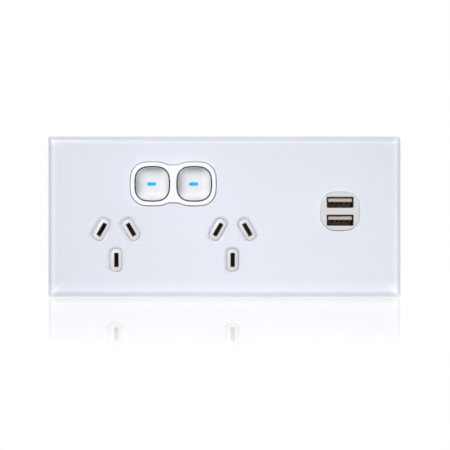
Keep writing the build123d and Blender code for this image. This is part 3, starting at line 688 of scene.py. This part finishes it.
def bevel_glass(name):
    """The bevel: the same glass, its tint darkened as painted shade, most where it faces the sides, less
    where it faces down and least where it faces up.
    """
    mat = clear_glass(name)
    tree = mat.node_tree
    facing = parts_of(tree, "Normal")
    sideways = math_node(tree, "ABSOLUTE", facing["X"])
    down = math_node(tree, "MAXIMUM", math_node(tree, "MULTIPLY", facing["Z"], -1.0), 0.0)
    up = math_node(tree, "MAXIMUM", facing["Z"], 0.0)
    shade_by_facing = 0.0
    for lean, share in ((sideways, SIDE_SHADE), (down, LOW_SHADE), (up, HIGH_SHADE)):
        shade_by_facing = math_node(tree, "ADD", math_node(tree, "MULTIPLY", lean, share), shade_by_facing)
    tint = tree.nodes.new("ShaderNodeCombineColor")
    for channel, level in zip(("Red", "Green", "Blue"), GLASS_TINT):
        tree.links.new(math_node(tree, "SUBTRACT", level, shade_by_facing), tint.inputs[channel])
    tree.links.new(tint.outputs["Color"], tree.nodes["Principled BSDF"].inputs["Base Color"])
    return mat


def ground_glass(name, rgb, clear, gloss):
    """Ground glass: some of the light goes through it, the rest is scattered at its skin."""
    mat = moulding(name, rgb, gloss, mottle=0.02)
    settle(mat.node_tree.nodes["Principled BSDF"], {"Transmission Weight": clear, "IOR": 1.04})
    pass_lamps(mat)
    return mat


sheet = bmesh.new()
edge = []
for inset, height in OUTER_EDGE:
    corner = max(PLATE_CORNER - inset * CORNER_LOSS, LEAST_CORNER)
    outline = round_box(PLATE_W - 2 * inset * SIDE_BEVEL, PLATE_H - 2 * inset, corner, steps=6)
    edge.append(ring(sheet, placed(outline, (PLATE_MIDDLE, 0)), height))
skin(sheet, edge[:4], FROSTED)
skin(sheet, edge[3:7], BEVEL)
skin(sheet, edge[6:], CLEAR)
fronts, backs = [edge[-1]], [edge[0]]
for middle, outline, finish in (
    ((SWITCH_MIDDLE, BUTTON_UP), bezel_outline, GROUND),
    (USB_MIDDLE, insert_outline, FROSTED),
):
    walls = [ring(sheet, placed(outline(grow), middle), height) for grow, height in FITTED_EDGE]
    skin(sheet, walls[:2], CLEAR)
    skin(sheet, walls[1:], finish)
    fronts.append(walls[0])
    backs.append(walls[-1])
for middle, tilt in pin_places():
    walls = []
    for grow, height in FLARED_EDGE:
        outline = round_box(APERTURE[0] + 2 * grow, APERTURE[1] + 2 * grow, APERTURE_R + grow)
        walls.append(ring(sheet, placed(outline, middle, tilt), height))
    skin(sheet, walls[:2], CLEAR)
    skin(sheet, walls[1:], FROSTED)
    fronts.append(walls[0])
    backs.append(walls[-1])
cap_off(sheet, fronts, CLEAR)
cap_off(sheet, backs, CLEAR)
glass = piece(
    "front_plate", sheet,
    [
        clear_glass("clear_glass"),
        bevel_glass("bevel_glass"),
        ground_glass("ground_glass", GROUND_GREY, clear=0.35, gloss=0.5),
        ground_glass("frosted_glass", FROSTED_WHITE, clear=0.6, gloss=0.45),
    ],
    "fitting",
)
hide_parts("glass_fascia")


# Switches: a white gloss double bezel that snaps in the plate, and two dished buttons, each with a
# blue window lit from behind. The sides of a button and of its opening carry painted shade, a dark
# colour.
BEZEL_WHITE, OPENING_SHADE = (245, 245, 247), (70, 70, 73)
BUTTON_WHITE, BUTTON_SHADE = (225, 226, 230), (30, 30, 32)
WINDOW_BLUE, WINDOW_GLOW = (0, 150, 196), (0, 182, 220)
OPENING_R, BUTTON_HALF, RIM_RISE, MIDDLE_DROP = 9.6, 7.8, 3.6, 2.5


def from_button_axis(tree):
    """How far a point lies beside and above the middle of its button."""
    at = parts_of(tree, "Object")
    across = off_middle(tree, at["X"], SWITCH_MIDDLE * MM)
    across = math_node(tree, "SUBTRACT", across, BUTTON_APART * MM)
    return across, math_node(tree, "SUBTRACT", at["Z"], BUTTON_UP * MM)


def near_a_button(tree):
    """One within the two openings of the bezel, nothing outside them."""
    across, up = [math_node(tree, "MULTIPLY", offset, offset) for offset in from_button_axis(tree)]
    return math_node(tree, "LESS_THAN", math_node(tree, "ADD", across, up), (OPENING_R * MM) ** 2)


def steep_rim(tree):
    """Height that gives a button's dish a flatter middle and a steeper rim than a plain hollow."""
    height = 0.0
    for offset in from_button_axis(tree):
        share = math_node(tree, "DIVIDE", offset, BUTTON_HALF * MM)
        square = math_node(tree, "MULTIPLY", share, share)
        fourth = math_node(tree, "MULTIPLY", square, square)
        rise = math_node(tree, "MULTIPLY", fourth, RIM_RISE * MM)
        drop = math_node(tree, "MULTIPLY", square, MIDDLE_DROP * MM)
        height = math_node(tree, "ADD", math_node(tree, "SUBTRACT", rise, drop), height)
    return height


def lit_window(name):
    """Blue window with the glow of the lamp behind it."""
    mat = moulding(name, WINDOW_BLUE, gloss=0.45, mottle=0.02)
    shader = mat.node_tree.nodes["Principled BSDF"]
    settle(shader, {"Emission Color": paint(WINDOW_GLOW), "Emission Strength": 0.42})
    settle(shader, {"Specular IOR Level": 0.15})
    return mat


white_gloss = moulding("white_gloss", BEZEL_WHITE, gloss=0.2, mottle=0.01)
# painted shade on the walls of the bezel's openings and on the sides of the buttons
dress(with_painted_wall_shade(white_gloss, OPENING_SHADE, near_a_button), "switch_bezel")
button_white = shaped_by(moulding("button_white", BUTTON_WHITE, gloss=0.5, mottle=0.01), steep_rim)
dress(with_painted_wall_shade(button_white, BUTTON_SHADE), "button_cap_left", "button_cap_right")
dress(lit_window("blue_window"), "light_window_left", "light_window_right")


# Studio: a polished white floor just under the plate, a white surround, and soft lamps with the
# key at the upper left. The floor mirrors the plate faintly, less and less away from it.
FLOOR_GAP, FLOOR_HALF, FLOOR_GREY, FLOOR_POLISH = 0.3, 3000.0, (0.34, 0.34, 0.35, 1), 0.008
FLOOR_Z = cad_low.z - FLOOR_GAP * MM
# middle and half width of what the whole fitting and its front plate stand over
FITTING_FOOT = (("X", PLATE_MIDDLE, PLATE_W / 2), ("Y", 9.0, 19.0))
PLATE_FOOT = (("X", PLATE_MIDDLE, PLATE_W / 2), ("Y", -5.25, 5.25))
MIRROR, MIRROR_REACH, MIRROR_FALL = 0.46, 212.0, 3.2
SHADOW_REACH, SHADOW_SHARE, SHADOW_LIFT = 250.0, 0.25, 0.27
SKY_LIGHT = 0.26
AIM = Vector((0.023, 0, 0))


def plainly_seen(tree, path):
    """One for rays that show a surface as it is: straight, mirrored or through glass."""
    seen = math_node(tree, "MAXIMUM", path["Is Camera Ray"], path["Is Glossy Ray"])
    return math_node(tree, "MAXIMUM", seen, path["Is Transmission Ray"])


def white_floor():
    """White sheet that keeps the shadow and a fading reflection."""
    mat = bpy.data.materials.new("white_floor")
    mat.use_nodes = True
    tree = mat.node_tree
    tree.nodes.remove(tree.nodes["Principled BSDF"])
    cover = tree.nodes.new("ShaderNodeBsdfDiffuse")
    settle(cover, {"Color": FLOOR_GREY})
    glow = tree.nodes.new("ShaderNodeEmission")
    mirror = tree.nodes.new("ShaderNodeBsdfGlossy")
    settle(mirror, {"Color": (1, 1, 1, 1), "Roughness": FLOOR_POLISH})
    path = tree.nodes.new("ShaderNodeLightPath").outputs
    at = parts_of(tree, "Object")
    off, under = 0.0, 1.0
    for axis, middle, half in FITTING_FOOT:
        past = math_node(tree, "SUBTRACT", off_middle(tree, at[axis], middle * MM), half * MM)
        off = math_node(tree, "MAXIMUM", past, off)
    for axis, middle, half in PLATE_FOOT:
        covered = math_node(tree, "LESS_THAN", off_middle(tree, at[axis], middle * MM), half * MM)
        under = math_node(tree, "MULTIPLY", covered, under)
    bare = math_node(tree, "SUBTRACT", 1.0, under)
    near = math_node(tree, "MINIMUM", math_node(tree, "DIVIDE", off, SHADOW_REACH * MM), 1.0)
    near = math_node(tree, "MULTIPLY", math_node(tree, "SUBTRACT", 1.0, near), bare)
    lift = math_node(tree, "ADD", math_node(tree, "MULTIPLY", near, SHADOW_LIFT), 1.0)
    tree.links.new(lift, glow.inputs["Strength"])
    white = math_node(tree, "SUBTRACT", 1.0, math_node(tree, "MULTIPLY", near, SHADOW_SHARE))
    white = math_node(tree, "MULTIPLY", plainly_seen(tree, path), white)
    lit = mixed(tree, white, cover.outputs[0], glow.outputs[0])
    away = math_node(tree, "POWER", math_node(tree, "DIVIDE", off, MIRROR_REACH * MM), MIRROR_FALL)
    fade = math_node(tree, "MAXIMUM", math_node(tree, "SUBTRACT", 1.0, away), 0.0)
    fade = math_node(tree, "MULTIPLY", math_node(tree, "MULTIPLY", fade, bare), MIRROR)
    fade = math_node(tree, "MULTIPLY", fade, path["Is Camera Ray"])
    shine = mixed(tree, fade, lit, mirror.outputs[0])
    tree.links.new(shine, tree.nodes["Material Output"].inputs["Surface"])
    return mat


ground = bpy.data.meshes.new("floor")
far = FLOOR_HALF * MM
corners = [(-far, -far, FLOOR_Z), (far, -far, FLOOR_Z), (far, far, FLOOR_Z), (-far, far, FLOOR_Z)]
ground.from_pydata(corners, [], [(0, 1, 2, 3)])
floor = bpy.data.objects.new("floor", ground)
bpy.context.collection.objects.link(floor)
floor.data.materials.append(white_floor())

world = bpy.data.worlds.new("studio")
bpy.context.scene.world = world
world.use_nodes = True
sky = world.node_tree
seen = plainly_seen(sky, sky.nodes.new("ShaderNodeLightPath").outputs)
level = math_node(sky, "ADD", math_node(sky, "MULTIPLY", seen, 1.0 - SKY_LIGHT), SKY_LIGHT)
settle(sky.nodes["Background"], {"Color": (1, 1, 1, 1)})
sky.links.new(level, sky.nodes["Background"].inputs["Strength"])

# place and size in metres, power in watts
stands = {}
for name, place, size, power in (
    ("key", (-0.87, -1.93, 1.08), 1.3, 54.0),
    ("front", (0.034, -0.42, -0.06), 0.15, 1.07),
    ("rear", (0.4, 1.65, 1.75), 1.6, 20.0),
    ("side", (1.8, 0.35, 1.45), 1.4, 30.0),
):
    lamp = bpy.data.lights.new(name, "AREA")
    lamp.size = size
    lamp.energy = power
    stand = bpy.data.objects.new(name, lamp)
    stand.location = place
    stand.rotation_euler = (AIM - Vector(place)).to_track_quat("-Z", "Y").to_euler()
    bpy.context.collection.objects.link(stand)
    stands[name] = stand

# the front lamp lights the backing alone and the key lights the rest, so that nothing that stands
# in the plate throws a shadow on it
backing = bpy.data.collections.new("backing")
backing.objects.link(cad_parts["fascia_carrier"])
stands["front"].light_linking.receiver_collection = backing
rest = bpy.data.collections.new("rest")
rest.objects.link(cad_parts["fascia_carrier"])
rest.collection_objects[0].light_linking.link_state = "EXCLUDE"
stands["key"].light_linking.receiver_collection = rest
open_way = bpy.data.collections.new("open_way")
for name in ("switch_bezel", "usb_insert", "mounting_frame"):
    open_way.objects.link(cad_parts[name])
open_way.objects.link(floor)
for item in open_way.collection_objects:
    item.light_linking.link_state = "EXCLUDE"
stands["front"].light_linking.blocker_collection = open_way

eye = bpy.data.cameras.new("camera")
eye.lens = 85
eye.sensor_width = 36
eye.clip_start = 0.01
camera = bpy.data.objects.new("camera", eye)
camera.location = (0.02363, -0.5058, -0.00397)
camera.rotation_euler = (math.radians(90), 0, 0)
bpy.context.collection.objects.link(camera)
bpy.context.scene.camera = camera
bpy.context.scene.view_settings.view_transform = "Standard"
